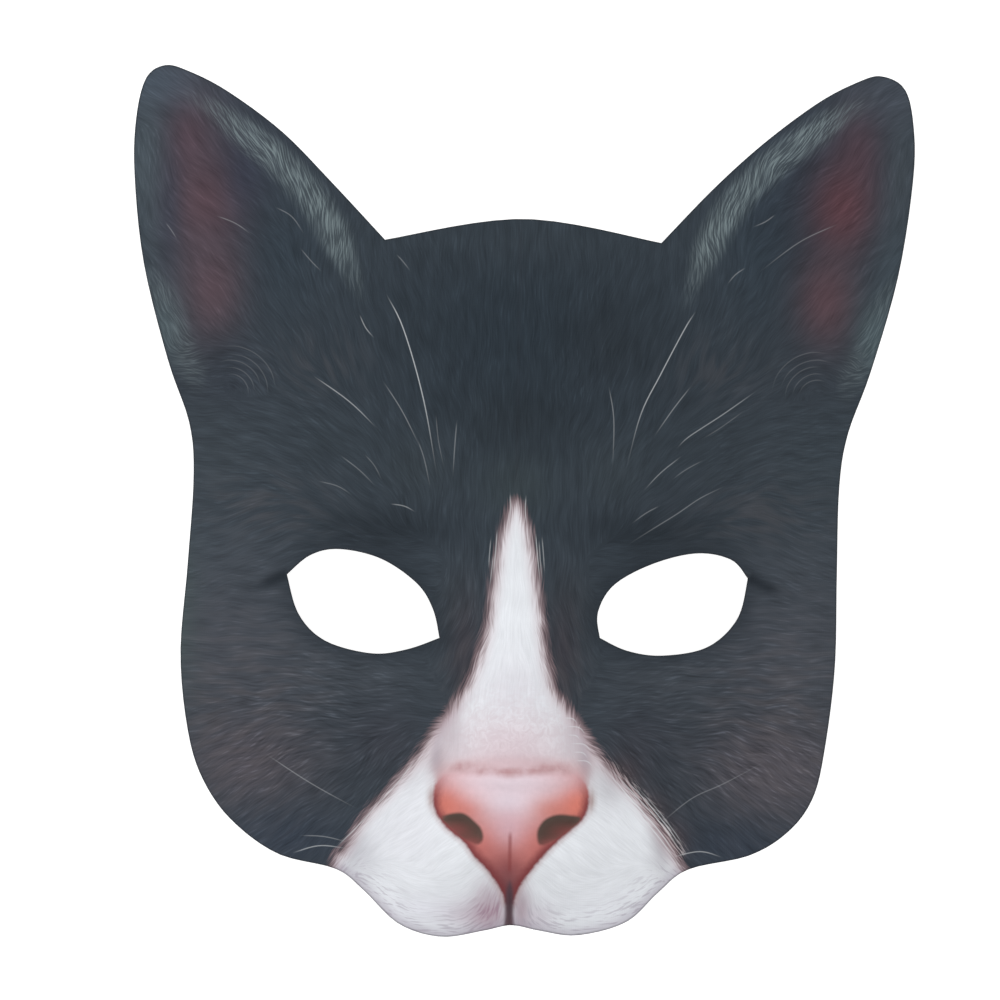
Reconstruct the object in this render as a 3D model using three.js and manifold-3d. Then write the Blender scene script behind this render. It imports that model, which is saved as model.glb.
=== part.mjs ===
// Cat half mask: one heat-formed sheet of cloth-faced foam, cut to the outline of a cat's face,
// with two upright ears and two eye openings. It lies face up on the cut edges of its cheeks.
// Millimetres. +X is to the right as the face is looked at, +Y runs from the muzzle to the ears,
// and +Z points out of the face. The origin is on the surface that the mask lies on, under the
// middle of its outline.

import * as THREE from "three";
import { mergeVertices } from "three/addons/utils/BufferGeometryUtils.js";
import Module from "manifold-3d";

// Driving dimensions
const WALL = 2.5; // printed cloth and foam together
const WRAP_POWER = 2.4; // how late the face turns back towards its sides
const RIDGE_POWER = 2.5; // how flat the nose ridge is on top
const EAR_LEAN = -0.1; // fall of an ear for each millimetre that it rises from its root
const EAR_BEND = 8; // width of the soft bend where an ear leaves the head
const SHEET = { left: -101, right: 101, bottom: -112, top: 112 }; // the sheet before it is cut
const COLUMNS = 46;
const ROWS = 44;
const MIDDLE_CROWDING = 0.55; // spacing of the columns at the nose, as a share of an even one
const MUZZLE_CROWDING = 0.5; // spacing of the rows at the muzzle, as a share of an even one
const CUT_STEPS = 5; // straight cuts for each row of the outline
const CUT_DEPTH = 140; // how far the cutter reaches along Z
const FLOOR_BLOCK = 60; // depth of the block that flattens the edges that the mask lies on

// Heights above the resting surface at stations up the face: on the middle line, on the broad
// face beside the nose and at the sides. Ridge is the half width of the nose ridge, and left and
// right are the distances from the middle line at which the face is down to its side height.
const SECTIONS = [
  { at: "muzzle edge", y: -112, middle: 40, face: 27, side: -8, ridge: 27, left: 83, right: 79 },
  { at: "lip", y: -97, middle: 53, face: 33, side: -4, ridge: 27, left: 83, right: 79 },
  { at: "nostrils", y: -83, middle: 62, face: 38, side: -1, ridge: 25, left: 83, right: 79 },
  { at: "nose tip", y: -70, middle: 65, face: 41, side: 0.8, ridge: 21, left: 83.5, right: 79.5 },
  { at: "bridge", y: -45, middle: 57, face: 44, side: 1.6, ridge: 15, left: 84, right: 80.2 },
  { at: "eyes", y: -18, middle: 49, face: 45.5, side: 1.4, ridge: 12, left: 83, right: 80.3 },
  { at: "brow", y: 8, middle: 45.5, face: 45, side: 0, ridge: 12, left: 81.8, right: 80.6 },
  { at: "forehead", y: 40, middle: 39, face: 39, side: -3, ridge: 14, left: 82, right: 81 },
  { at: "crown", y: 71, middle: 27, face: 27, side: -6, ridge: 14, left: 82, right: 82 },
  { at: "above", y: 112, middle: 6, face: 6, side: -14, ridge: 14, left: 82, right: 82 },
];

// Rounded swellings and dents on the right half, mirrored to the left. A long axis turned by 0
// points up the face, and by 90 to the side.
const SWELLS = [
  { at: "eye socket", x: 39, y: -25, turn: 68, long: 33, wide: 22, rise: -5 },
  { at: "brow", x: 35, y: 6, turn: 75, long: 30, wide: 13, rise: 2.5 },
  { at: "cheek", x: 57, y: -54, turn: 15, long: 34, wide: 24, rise: 3 },
  { at: "whisker pad", x: 20, y: -94, turn: 62, long: 31, wide: 23, rise: 7.5 },
  { at: "nose wing", x: 11, y: -75, turn: 90, long: 13, wide: 10, rise: 2.5 },
  { at: "nostril", x: 12, y: -81, turn: 112, long: 7, wide: 4.5, rise: -3 },
  { at: "ear cup", x: 76, y: 68, turn: 18, long: 38, wide: 17, rise: -5 },
  { at: "ear fold", x: 63, y: 85, turn: 50, long: 34, wide: 9, rise: 1.6 },
  { at: "lip cleft", x: 0, y: -102, turn: 0, long: 14, wide: 5, rise: -3 },
];

// The cut outline as distances from the middle line and heights up the face, from the notch
// between crown and ear to the cleft under the nose. The real cut isn't quite even.
const CROWN_TOP = { x: 0, y: 70.8 };
const OUTLINE = [
  { at: "crown notch", left: [34.5, 65], right: [34.5, 65.4] },
  { at: "ear inner edge, low", left: [48.2, 79.3], right: [47.3, 79.2] },
  { at: "ear inner edge, middle", left: [60.8, 91.7], right: [59.9, 91] },
  { at: "ear inner edge, high", left: [74.8, 101.7], right: [73.4, 101.4] },
  { at: "ear tip, inside", left: [84.8, 106.6], right: [83.2, 106.7] },
  { at: "ear tip", left: [90.4, 107.8], right: [88.9, 108.2] },
  { at: "ear tip, outside", left: [95, 104.6], right: [94.7, 105.2] },
  { at: "ear outer edge, high", left: [97.3, 95], right: [97.1, 96.5] },
  { at: "ear outer edge, bulge", left: [97.6, 81], right: [97.4, 83] },
  { at: "ear outer edge, middle", left: [95, 58.5], right: [94.2, 58.5] },
  { at: "ear outer edge, low", left: [88.6, 34.2], right: [87.8, 34.2] },
  { at: "ear root", left: [83, 18.5], right: [82.4, 18.5] },
  { at: "temple", left: [81.7, 5], right: [80.5, 5] },
  { at: "cheek, high", left: [82.8, -17], right: [80.3, -17] },
  { at: "cheek", left: [84.2, -40], right: [80.2, -40] },
  { at: "cheek, low", left: [81.6, -60.5], right: [78, -60.5] },
  { at: "jaw, side", left: [77, -72.5], right: [75.2, -72.8] },
  { at: "jaw, corner", left: [69.5, -81.7], right: [69.1, -81.3] },
  { at: "jaw, under", left: [58.3, -89], right: [59.3, -87.3] },
  { at: "lip notch", left: [44, -92.2], right: [44, -90.8] },
  { at: "muzzle, side", left: [37, -97.2], right: [36.6, -96.5] },
  { at: "muzzle, low", left: [28, -105.4], right: [28.6, -104] },
  { at: "muzzle, bottom", left: [17.5, -108.3], right: [16.5, -107.3] },
  { at: "muzzle, inside", left: [7, -106.5], right: [7, -106.2] },
  { at: "lip cleft", left: [0, -105], right: [0, -105] },
];

// The eye openings in the same way. Their two corners are sharp.
const UPPER_LID = [
  { at: "outer corner", left: [57.5, -19], right: [57.6, -18] },
  { at: "outer", left: [51.8, -14.1], right: [53.4, -13.4] },
  { at: "top", left: [44.5, -12.4], right: [44.7, -11.9] },
  { at: "middle", left: [34, -14.6], right: [33.7, -14.7] },
  { at: "inner", left: [24.9, -20.6], right: [24.1, -20.1] },
  { at: "inner side", left: [20.8, -27], right: [20.2, -27] },
  { at: "inner corner", left: [19.1, -34], right: [20.8, -33.3] },
];
const LOWER_LID = [
  { at: "inner", left: [27.1, -37], right: [27.6, -36.4] },
  { at: "bottom", left: [36, -38.2], right: [36.5, -37.5] },
  { at: "outer", left: [47.6, -35.3], right: [47.8, -35.2] },
  { at: "outer side", left: [54.4, -28.8], right: [55.2, -28] },
  { at: "outer corner", left: [57.5, -19], right: [57.6, -18] },
];

// The ear leaves the head along a straight root from the crown notch to the temple.
const EAR_ROOT = new THREE.Line3(new THREE.Vector3(34.5, 65.2), new THREE.Vector3(82, 16));
const EAR_WAY = EAR_ROOT.delta(new THREE.Vector3()).normalize();
const EAR_UP = new THREE.Vector3(-EAR_WAY.y, EAR_WAY.x);

const SECTION_COLUMNS = ["middle", "face", "side", "ridge", "left", "right"];
const sectionAt = new THREE.CubicInterpolant(
  SECTIONS.map((row) => row.y),
  SECTIONS.flatMap((row) => SECTION_COLUMNS.map((column) => row[column])),
  SECTION_COLUMNS.length,
);

// Height of the bare head, with neither ears nor swellings.
function headHeight(x, y) {
  const [middle, face, side, ridge, left, right] = sectionAt.evaluate(y);
  const wrap = (Math.abs(x) / (x < 0 ? left : right)) ** WRAP_POWER;
  const nose = Math.exp(-(Math.abs(x / ridge) ** RIDGE_POWER));
  return face + (side - face) * wrap + (middle - face) * nose;
}

// One swelling or dent: a smooth cap over a turned ellipse.
function swellHeight(swell, x, y) {
  const turn = THREE.MathUtils.degToRad(swell.turn);
  const [dx, dy] = [x - swell.x, y - swell.y];
  const along = (dx * Math.sin(turn) + dy * Math.cos(turn)) / swell.long;
  const across = (dx * Math.cos(turn) - dy * Math.sin(turn)) / swell.wide;
  const inside = Math.max(0, 1 - along ** 2 - across ** 2);
  return swell.rise * inside ** 2;
}

// Height of the printed front. Past an ear's root the head's surface runs straight on, leaning
// back, as the ear.
function frontHeight(signedX, y) {
  const x = Math.abs(signedX);
  const past = (x - EAR_ROOT.start.x) * EAR_UP.x + (y - EAR_ROOT.start.y) * EAR_UP.y;
  const up = (past + Math.hypot(past, EAR_BEND)) / 2;
  const head = headHeight(signedX - Math.sign(signedX) * up * EAR_UP.x, y - up * EAR_UP.y);
  const swells = SWELLS.reduce((sum, swell) => sum + swellHeight(swell, x, y), 0);
  return head + EAR_LEAN * up + swells;
}

// Direction out of the printed front.
function frontNormal(x, y) {
  const step = 0.05;
  const slopeX = (frontHeight(x + step, y) - frontHeight(x - step, y)) / (2 * step);
  const slopeY = (frontHeight(x, y + step) - frontHeight(x, y - step)) / (2 * step);
  return new THREE.Vector3(-slopeX, -slopeY, 1).normalize();
}

// The formed sheet before cutting: a flat box whose columns and rows crowd at the nose, pressed
// to shape, with its back one wall behind its front.
function formedSheet() {
  const sheet = new THREE.BoxGeometry(2, 2, 2, COLUMNS, ROWS, 1);
  sheet.deleteAttribute("normal");
  sheet.deleteAttribute("uv");
  const formed = mergeVertices(sheet);
  const at = formed.getAttribute("position");
  const middle = (SHEET.left + SHEET.right) / 2;
  const halfWidth = (SHEET.right - SHEET.left) / 2;
  for (let i = 0; i < at.count; i++) {
    const u = at.getX(i);
    const v = (at.getY(i) + 1) / 2;
    const crowdedU = THREE.MathUtils.lerp(u ** 3, u, MIDDLE_CROWDING);
    const crowdedV = THREE.MathUtils.lerp(v ** 2, v, MUZZLE_CROWDING);
    const x = middle + halfWidth * crowdedU;
    const y = THREE.MathUtils.lerp(SHEET.bottom, SHEET.top, crowdedV);
    const point = new THREE.Vector3(x, y, frontHeight(x, y));
    if (at.getZ(i) < 0) point.addScaledVector(frontNormal(x, y), -WALL);
    at.setXYZ(i, ...point);
  }
  return formed;
}

// Points of one side of a table, with the left side's distances turned negative.
function sidePoints(table, side) {
  const sign = side === "left" ? -1 : 1;
  return table.map((row) => new THREE.Vector2(sign * row[side][0], row[side][1]));
}

function eyeOpening(side) {
  const upper = sidePoints(UPPER_LID, side);
  const opening = new THREE.Path();
  opening.moveTo(upper[0].x, upper[0].y);
  opening.splineThru(upper.slice(1));
  opening.splineThru(sidePoints(LOWER_LID, side));
  return opening;
}

// The cutter: the mask's outline with its two eye openings, reaching through the sheet.
function cutter() {
  const left = sidePoints(OUTLINE, "left");
  const right = sidePoints(OUTLINE, "right").reverse();
  const outline = new THREE.Shape();
  outline.moveTo(right.at(-1).x, right.at(-1).y);
  outline.splineThru([new THREE.Vector2(CROWN_TOP.x, CROWN_TOP.y), left[0]]);
  outline.splineThru([...left.slice(1), ...right.slice(1)]);
  outline.holes = [eyeOpening("left"), eyeOpening("right")];
  const prism = new THREE.ExtrudeGeometry(outline, {
    depth: CUT_DEPTH,
    curveSegments: CUT_STEPS,
    bevelEnabled: false,
  });
  return prism.translate(0, 0, -CUT_DEPTH / 3);
}

// What lies under the resting surface and presses the lowest edges flat.
function floorBlock() {
  const width = SHEET.right - SHEET.left;
  const length = SHEET.top - SHEET.bottom;
  return new THREE.BoxGeometry(width, length, FLOOR_BLOCK).translate(0, 0, -FLOOR_BLOCK / 2);
}

const wasm = await Module();
wasm.setup();

// A closed three.js geometry as a solid that can be cut.
function solidOf(geometry) {
  const bare = new THREE.BufferGeometry().setAttribute("position", geometry.getAttribute("position"));
  const merged = mergeVertices(bare.setIndex(geometry.index));
  return new wasm.Manifold(
    new wasm.Mesh({
      numProp: 3,
      vertProperties: merged.getAttribute("position").array,
      triVerts: new Uint32Array(merged.index.array),
    }),
  );
}

function geometryOf(solid) {
  const { vertProperties, triVerts } = solid.getMesh();
  const geometry = new THREE.BufferGeometry();
  geometry.setAttribute("position", new THREE.BufferAttribute(vertProperties, 3));
  geometry.setIndex(new THREE.BufferAttribute(triVerts, 1));
  geometry.computeVertexNormals();
  return geometry;
}

const shell = solidOf(formedSheet()).intersect(solidOf(cutter())).subtract(solidOf(floorBlock()));

const printedFoam = new THREE.MeshStandardMaterial({
  name: "printed_foam",
  color: 0x3a4149,
  roughness: 0.85,
  metalness: 0,
});

const maskShell = new THREE.Mesh(geometryOf(shell), printedFoam);
maskShell.name = "mask_shell";

const mask = new THREE.Group();
mask.name = "cat_half_mask";
mask.add(maskShell);

export default mask;
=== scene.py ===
# %% [markdown]
# # A printed cat half mask
#
# The real mask is a thin sheet of foam with a printed cloth bonded to its front. The bonded sheet is
# cut along the outline and pressed hot into a face. The solid model already has the size, the outline
# and the form. This lesson dresses it with two pieces: a cloth front that carries the printed fur,
# and the plain foam behind it.

import math

import bmesh
import bpy
import numpy as np
from mathutils import Matrix, Vector
from mathutils.bvhtree import BVHTree


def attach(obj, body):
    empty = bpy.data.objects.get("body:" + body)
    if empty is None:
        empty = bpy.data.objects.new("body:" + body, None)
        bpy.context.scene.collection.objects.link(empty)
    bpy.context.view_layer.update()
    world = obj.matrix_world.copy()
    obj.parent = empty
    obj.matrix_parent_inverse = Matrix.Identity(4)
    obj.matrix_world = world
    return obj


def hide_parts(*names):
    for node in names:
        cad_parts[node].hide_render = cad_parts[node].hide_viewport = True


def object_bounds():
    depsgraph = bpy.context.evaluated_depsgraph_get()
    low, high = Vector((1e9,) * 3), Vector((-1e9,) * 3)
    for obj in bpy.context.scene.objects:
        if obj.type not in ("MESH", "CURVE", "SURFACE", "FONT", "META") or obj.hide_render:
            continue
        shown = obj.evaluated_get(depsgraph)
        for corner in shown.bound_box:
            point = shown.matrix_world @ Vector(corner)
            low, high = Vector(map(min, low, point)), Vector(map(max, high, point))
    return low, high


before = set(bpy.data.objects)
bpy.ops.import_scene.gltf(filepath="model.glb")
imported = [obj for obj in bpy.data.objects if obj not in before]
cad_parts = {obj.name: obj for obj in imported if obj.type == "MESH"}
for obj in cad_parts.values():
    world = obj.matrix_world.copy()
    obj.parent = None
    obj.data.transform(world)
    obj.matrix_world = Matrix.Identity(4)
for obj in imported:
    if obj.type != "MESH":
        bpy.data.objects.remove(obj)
cad_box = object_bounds()
MM = 0.001
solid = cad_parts["mask_shell"]
cad_size = cad_box[1] - cad_box[0]
print("solid mask, mm:", [round(side / MM, 1) for side in cad_size])

# %% [markdown]
# ## Camera
#
# The photograph looks straight at the face, and the mask lies face up, so the camera hangs high above
# it like one on a copy stand. A long lens keeps the outline free of perspective. The lens could be
# guessed and the camera moved until the mask fits, but the width of the view gives it directly.

# %% Camera on a copy stand
VIEW_WIDTH = 250 * MM
CAMERA_HEIGHT = 4.0
CAMERA_SIGHT = 12.0
SHARP_HEIGHT = 20 * MM
CAMERA_AIM = (-4.64 * MM, 0.54 * MM)
CAMERA_ROLL = math.radians(1.02)

lens = bpy.data.cameras.new("copy_stand")
lens.lens = lens.sensor_width * (CAMERA_HEIGHT - SHARP_HEIGHT) / VIEW_WIDTH
lens.clip_end = CAMERA_SIGHT
camera = bpy.data.objects.new("copy_stand", lens)
camera.location = (*CAMERA_AIM, CAMERA_HEIGHT)
camera.rotation_euler = (0, 0, CAMERA_ROLL)
bpy.context.collection.objects.link(camera)
bpy.context.scene.camera = camera
bpy.context.scene.view_settings.view_transform = "Standard"
print("lens, mm:", round(lens.lens))

# %% [markdown]
# ## Floor and light
#
# The photograph has a clean white ground that shows through the eyes too. A white floor alone turns
# grey in the mask's own shadow, so this one glows a little, like a light table. Three wide soft lamps
# round the stand shape the muzzle gently, and the one beyond the ears is the strongest.

# %% Floor, lamps and room
FLOOR_WIDTH = 16.0
FLOOR_DROP = 0.2 * MM
FLOOR_GREY = (0.4, 0.4, 0.4, 1)
FLOOR_ROUGHNESS = 0.9
FLOOR_GLOW = 0.97
WHITE = (1, 1, 1, 1)
LAMP_WIDTH = 1.2
LAMPS = {
    # name: (place, watts)
    "lamp_beyond_ears": ((-0.5, 1.5, 1.6), 17.0),
    "lamp_left": ((-1.5, -0.4, 1.5), 9.0),
    "lamp_right": ((1.5, -0.4, 1.5), 8.5),
}
ROOM_LIGHT = 0.5


def as_object(bm, name):
    """Turns a finished bmesh into an object in the scene."""
    mesh = bpy.data.meshes.new(name)
    bm.to_mesh(mesh)
    bm.free()
    made = bpy.data.objects.new(name, mesh)
    bpy.context.collection.objects.link(made)
    return made


def add_floor():
    """A wide floor that glows faintly, just under the mask's resting edge."""
    bm = bmesh.new()
    bmesh.ops.create_grid(bm, x_segments=1, y_segments=1, size=FLOOR_WIDTH / 2)
    bmesh.ops.translate(bm, verts=bm.verts, vec=(0, 0, -FLOOR_DROP))
    floor = as_object(bm, "floor")
    material = bpy.data.materials.new("floor_paint")
    material.use_nodes = True
    shader = material.node_tree.nodes["Principled BSDF"]
    shader.inputs["Base Color"].default_value = FLOOR_GREY
    shader.inputs["Roughness"].default_value = FLOOR_ROUGHNESS
    shader.inputs["Emission Color"].default_value = WHITE
    shader.inputs["Emission Strength"].default_value = FLOOR_GLOW
    floor.data.materials.append(material)


def add_lamp(name, place, watts):
    """A square soft lamp that faces the mask."""
    lamp = bpy.data.lights.new(name, "AREA")
    lamp.size = LAMP_WIDTH
    lamp.energy = watts
    holder = bpy.data.objects.new(name, lamp)
    holder.location = place
    holder.rotation_euler = Vector(place).to_track_quat("Z", "Y").to_euler()
    bpy.context.collection.objects.link(holder)


add_floor()
for lamp_name, (lamp_place, lamp_watts) in LAMPS.items():
    add_lamp(lamp_name, lamp_place, lamp_watts)
room = bpy.data.worlds.new("room")
room.use_nodes = True
sky = room.node_tree.nodes["Background"]
sky.inputs["Color"].default_value = WHITE
sky.inputs["Strength"].default_value = ROOM_LIGHT
bpy.context.scene.world = room
print("lamps:", ", ".join(LAMPS))

# %% [markdown]
# ## The front of the solid
#
# Cloth and foam both follow the front of the solid, so that front is taken first, as a copy with its
# loose triangles joined. Its open edges are the cuts: the outline and the two eyes. Keeping them as
# loops of plan points lets later steps ask how far any point lies from a cut.

# %% Front faces and cut loops
FRONT_FACING = 0.1
JOIN_DISTANCE = 0.001 * MM


def front_of(node):
    """The faces of a node that look up, joined, in a bmesh of their own."""
    bm = bmesh.new()
    bm.from_mesh(node.data)
    bmesh.ops.remove_doubles(bm, verts=bm.verts, dist=JOIN_DISTANCE)
    bm.normal_update()
    others = [face for face in bm.faces if face.normal.z < FRONT_FACING]
    bmesh.ops.delete(bm, geom=others, context="FACES")
    bm.faces.ensure_lookup_table()
    return bm


def cut_loops(bm):
    """The open edges of a bmesh as closed loops of plan points, the longest first."""
    loops = []
    waiting = {edge for edge in bm.edges if edge.is_boundary}
    while waiting:
        edge = waiting.pop()
        loop = list(edge.verts)
        while loop[-1] is not loop[0]:
            edge = next(link for link in loop[-1].link_edges if link in waiting)
            waiting.remove(edge)
            loop.append(edge.other_vert(loop[-1]))
        loops.append(np.array([vert.co.xy for vert in loop[:-1]]))
    return sorted(loops, key=len, reverse=True)


front = front_of(solid)
cuts = cut_loops(front)
print("cut loops, points:", [len(loop) for loop in cuts])

# %% [markdown]
# ## Measuring in plan
#
# A press shapes the sheet from above, so everything on it can be described in plan: how deep a point
# lies inside an outline, and which side of a line it is on. These helpers measure that for all points
# at once with numpy, which is far quicker than asking point by point. Some places were read off the
# photograph as pixels, and the first helper turns those into places in plan.

# %% Plan measures
PHOTO_WIDTH = 1000
ZERO_PIXEL = (518.5, 502.5)
READING_DIGITS = 1


def from_photo(pixels):
    """Pixels read off the photograph, as plan points in millimetres."""
    right, down = (np.array(pixels) - ZERO_PIXEL).T * VIEW_WIDTH / MM / PHOTO_WIDTH
    x = right * math.cos(CAMERA_ROLL) + down * math.sin(CAMERA_ROLL)
    y = right * math.sin(CAMERA_ROLL) - down * math.cos(CAMERA_ROLL)
    return np.round(np.array([x, y]).T, READING_DIGITS)


def stretches(loops):
    """Starts and ends of all the straight stretches of some closed loops."""
    starts = np.concatenate(loops)
    ends = np.concatenate([np.roll(loop, -1, axis=0) for loop in loops])
    return starts, ends


def nearest(points, starts, ends):
    """Each point's foot on the nearest stretch, its distance, the stretch's number and the share."""
    distance = np.full(len(points), np.inf)
    foot = np.zeros_like(points)
    number = np.zeros(len(points), int)
    share = np.zeros(len(points))
    for index, (start, end) in enumerate(zip(starts, ends)):
        run = end - start
        part = np.clip((points - start) @ run / (run @ run), 0, 1)
        place = start + part[:, None] * run
        gap = np.hypot(*(points - place).T)
        closer = gap < distance
        distance[closer] = gap[closer]
        foot[closer] = place[closer]
        number[closer] = index
        share[closer] = part[closer]
    return foot, distance, number, share


def is_inside(points, starts, ends):
    """True for the points inside an odd number of the loops."""
    odd = np.zeros(len(points), bool)
    for start, end in zip(starts, ends):
        if start[1] == end[1]:
            continue
        crosses = (start[1] > points[:, 1]) != (end[1] > points[:, 1])
        reach = start[0] + (points[:, 1] - start[1]) / (end[1] - start[1]) * (end[0] - start[0])
        odd ^= crosses & (points[:, 0] < reach)
    return odd


def depth_inside(points, loops):
    """Distance to the nearest loop, positive inside."""
    starts, ends = stretches(loops)
    distance = nearest(points, starts, ends)[1]
    return np.where(is_inside(points, starts, ends), distance, -distance)


def smooth_curve(points, steps, closed=False):
    """A curve through a few points given in millimetres, as plan points in metres."""
    knots = np.array(points, float) * MM
    if closed:
        knots = np.concatenate([knots[-1:], knots, knots[:2]])
    else:
        knots = np.concatenate([2 * knots[:1] - knots[1:2], knots, 2 * knots[-1:] - knots[-2:-1]])
    curve = []
    for before, start, end, after in zip(knots, knots[1:], knots[2:], knots[3:]):
        for part in np.arange(steps) / steps:
            bend = 2 * start + (end - before) * part
            bend += (2 * before - 5 * start + 4 * end - after) * part**2
            bend += (3 * start - before - 3 * end + after) * part**3
            curve.append(bend / 2)
    if not closed:
        curve.append(knots[-2])
    return np.array(curve)


def soft_step(value, start, end):
    """0 before start, 1 after end, and an even S between them."""
    part = np.clip((value - start) / (end - start), 0, 1)
    return part * part * (3 - 2 * part)


print("outline, mm round:", round(np.hypot(*np.subtract(*stretches(cuts[:1])).T).sum() / MM))

# %% [markdown]
# ## Lines of the face
#
# The print and the pressed relief share some lines: the nose leather, the nostrils, the groove under
# the nose and the creases at the outer corners of the eyes. Each is a curve through a few listed
# points. The creases are pixels of the photograph, and the other lines are in millimetres,
# with the bridge of the nose near x = 0.

# %% Nose, nostrils, grooves and creases
CURVE_STEPS = 6
NOSE_LEATHER = [
    (-17.4, -66.6), (-10, -65.4), (-1, -65.2), (9, -65), (16, -65.9), (18.2, -69.6), (18.7, -73.9),
    (17.5, -77.9), (13.6, -81.5), (9.4, -85.5), (5.9, -89.5), (2.7, -93.9), (1, -97.5), (0.3, -99.5),
    (-1.5, -99.5), (-2, -97.7), (-3.5, -94.9), (-6.1, -91.2), (-9.3, -88), (-12.3, -84.1),
    (-15.7, -81.6), (-17.8, -79.3), (-19.3, -77), (-19.9, -74.2), (-19.4, -70.2),
]
NOSTRILS = [
    [(-17.8, -78.4), (-16.4, -77.6), (-15, -77.2), (-12.9, -77), (-11.3, -77.6), (-9.6, -79),
     (-8, -80.6), (-7.3, -82.6), (-7.6, -84.1), (-8.8, -84.8), (-10.3, -84.3), (-12.3, -83.3),
     (-14.3, -81.8), (-16.3, -80)],
    [(6.2, -83.8), (6.1, -81), (7.7, -78.4), (10.5, -77.1), (13.6, -77.1), (16.8, -77.9),
     (15, -80.1), (11.5, -82.6), (8.7, -84.3), (6.9, -84.6)],
]
BRIDGE_PLATE = [
    (-7, -40), (6.5, -40), (9.5, -47), (14.5, -52), (17.2, -58), (17.6, -66), (17, -71), (-18.5, -71),
    (-19.3, -66), (-19, -58), (-15, -52), (-10.5, -47),
]
PHILTRUM = [(-0.7, -80.9), (-0.7, -86), (-0.6, -92)]
CLEFT = [
    (-0.6, -93.5), (0.4, -96.5), (0.6, -100), (0.6, -103), (1.2, -106), (3.5, -110), (-4.5, -110),
    (-2.2, -106), (-1.7, -103), (-1.7, -100), (-1.5, -96.5),
]
NOSE_LINE = [
    (-18.2, -67.2), (-13, -65.8), (-7, -66.4), (-1, -66.6), (6, -65.8), (12, -65.8), (16.8, -67),
]
EYE_CREASES = [
    from_photo([(289, 574), (272, 581), (250, 592)]),
    from_photo([(748, 578), (768, 588), (790, 598)]),
]

nose_loop = [smooth_curve(NOSE_LEATHER, CURVE_STEPS, closed=True)]
nostril_loops = [smooth_curve(rim, CURVE_STEPS, closed=True) for rim in NOSTRILS]
bridge_loop = [smooth_curve(BRIDGE_PLATE, CURVE_STEPS, closed=True)]
philtrum_line = smooth_curve(PHILTRUM, CURVE_STEPS)
cleft_loop = [smooth_curve(CLEFT, CURVE_STEPS, closed=True)]
crease_lines = [smooth_curve(line, CURVE_STEPS) for line in EYE_CREASES]


def beside(points, line):
    """Distance from an open line."""
    return nearest(points, line[:-1], line[1:])[1]


print("nose leather, mm wide:", round(np.ptp(nose_loop[0][:, 0]) / MM, 1))

# %% [markdown]
# ## A pressed lattice
#
# Real cloth goes into the press flat. Here a flat grid lies over the plan and each of its points
# drops onto the solid's front. The solid is made of facets, so smoothing follows: many rounds on the
# calm cheeks and forehead, fewer on the muzzle, so that its small forms stay crisp. A subdivision
# surface on the solid would keep the facets' rhythm, and a fresh even grid doesn't.

# %% Drop the lattice onto the front
LATTICE_PITCH = 0.8 * MM
LATTICE_MARGIN = 4 * MM
EDGE_SLOPE_REACH = 12 * MM
MUZZLE_CENTRE = np.array([-0.5, -80]) * MM
MUZZLE_REACH = (30 * MM, 70 * MM)
MUZZLE_ROUNDS = 22
FACE_ROUNDS = 110
STEEPEST = 0.4
SMOOTH_FACTOR = 0.5


def flat_lattice(pitch):
    """A flat grid over the whole plan of the mask."""
    size = cad_size + Vector((1, 1, 0)) * 2 * LATTICE_MARGIN
    middle = (cad_box[0] + cad_box[1]) / 2
    columns = math.ceil(size.x / pitch)
    rows = math.ceil(size.y / pitch)
    place = Matrix.Translation((middle.x, middle.y, 0))
    place = place @ Matrix.Diagonal((columns * pitch, rows * pitch, 1, 1))
    bm = bmesh.new()
    bmesh.ops.create_grid(bm, x_segments=columns, y_segments=rows, size=0.5, matrix=place)
    return bm


def plan_of(bm):
    """Plan points of a bmesh's vertices."""
    return np.array([vert.co.xy for vert in bm.verts])


def drop_on_front(bm):
    """Puts every point on the front, or on the front's slope carried on past a cut."""
    flat = front.copy()
    bmesh.ops.scale(flat, verts=flat.verts, vec=(1, 1, 0))
    tree = BVHTree.FromBMesh(flat)
    flat.free()
    for vert in bm.verts:
        place, _, index, gap = tree.find_nearest((vert.co.x, vert.co.y, 0))
        face = front.faces[index]
        step = vert.co - place
        if gap > EDGE_SLOPE_REACH:
            step *= EDGE_SLOPE_REACH / gap
        offset = place + step - face.verts[0].co
        rise = offset.x * face.normal.x + offset.y * face.normal.y
        vert.co.z = face.verts[0].co.z - rise / face.normal.z


def smooth_heights(bm):
    """Evens out the facets, with fewer rounds on the muzzle."""
    away = np.hypot(*(plan_of(bm) - MUZZLE_CENTRE).T)
    calm = soft_step(away, *MUZZLE_REACH)
    rounds = MUZZLE_ROUNDS + calm * (FACE_ROUNDS - MUZZLE_ROUNDS)
    for turn in range(FACE_ROUNDS):
        rough = [vert for vert, last in zip(bm.verts, rounds) if last > turn]
        bmesh.ops.smooth_vert(bm, verts=rough, factor=SMOOTH_FACTOR, use_axis_z=True)


def keep_slopes(bm):
    """Keeps on each point how level the sheet is there, from 0 to 1."""
    bm.normal_update()
    level = bm.verts.layers.float.new("level")
    for vert in bm.verts:
        vert[level] = max(vert.normal.z, STEEPEST)


lattice = flat_lattice(LATTICE_PITCH)
drop_on_front(lattice)
smooth_heights(lattice)
keep_slopes(lattice)
print("lattice points:", len(lattice.verts))

# %% [markdown]
# ## Cutting out the face
#
# A boolean with the outline would leave long thin triangles along the cut. Instead the lattice points
# nearest a cut slide onto it along the slope, the squares that straddle it are split across, and what
# lies outside is deleted. Sharp corners of the cut get the nearest edge point moved exactly onto them.
# Last, the heights along the cut are evened out, so that its edge runs as clean as a knife's.

# %% Slide, split and delete
SLIDE_SHARE = 0.52
CORNER_TURN = math.radians(28)
RIM_ROUNDS = 40
RIM_REACH = 4 * MM
RIM_INNER_ROUNDS = 15


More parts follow.
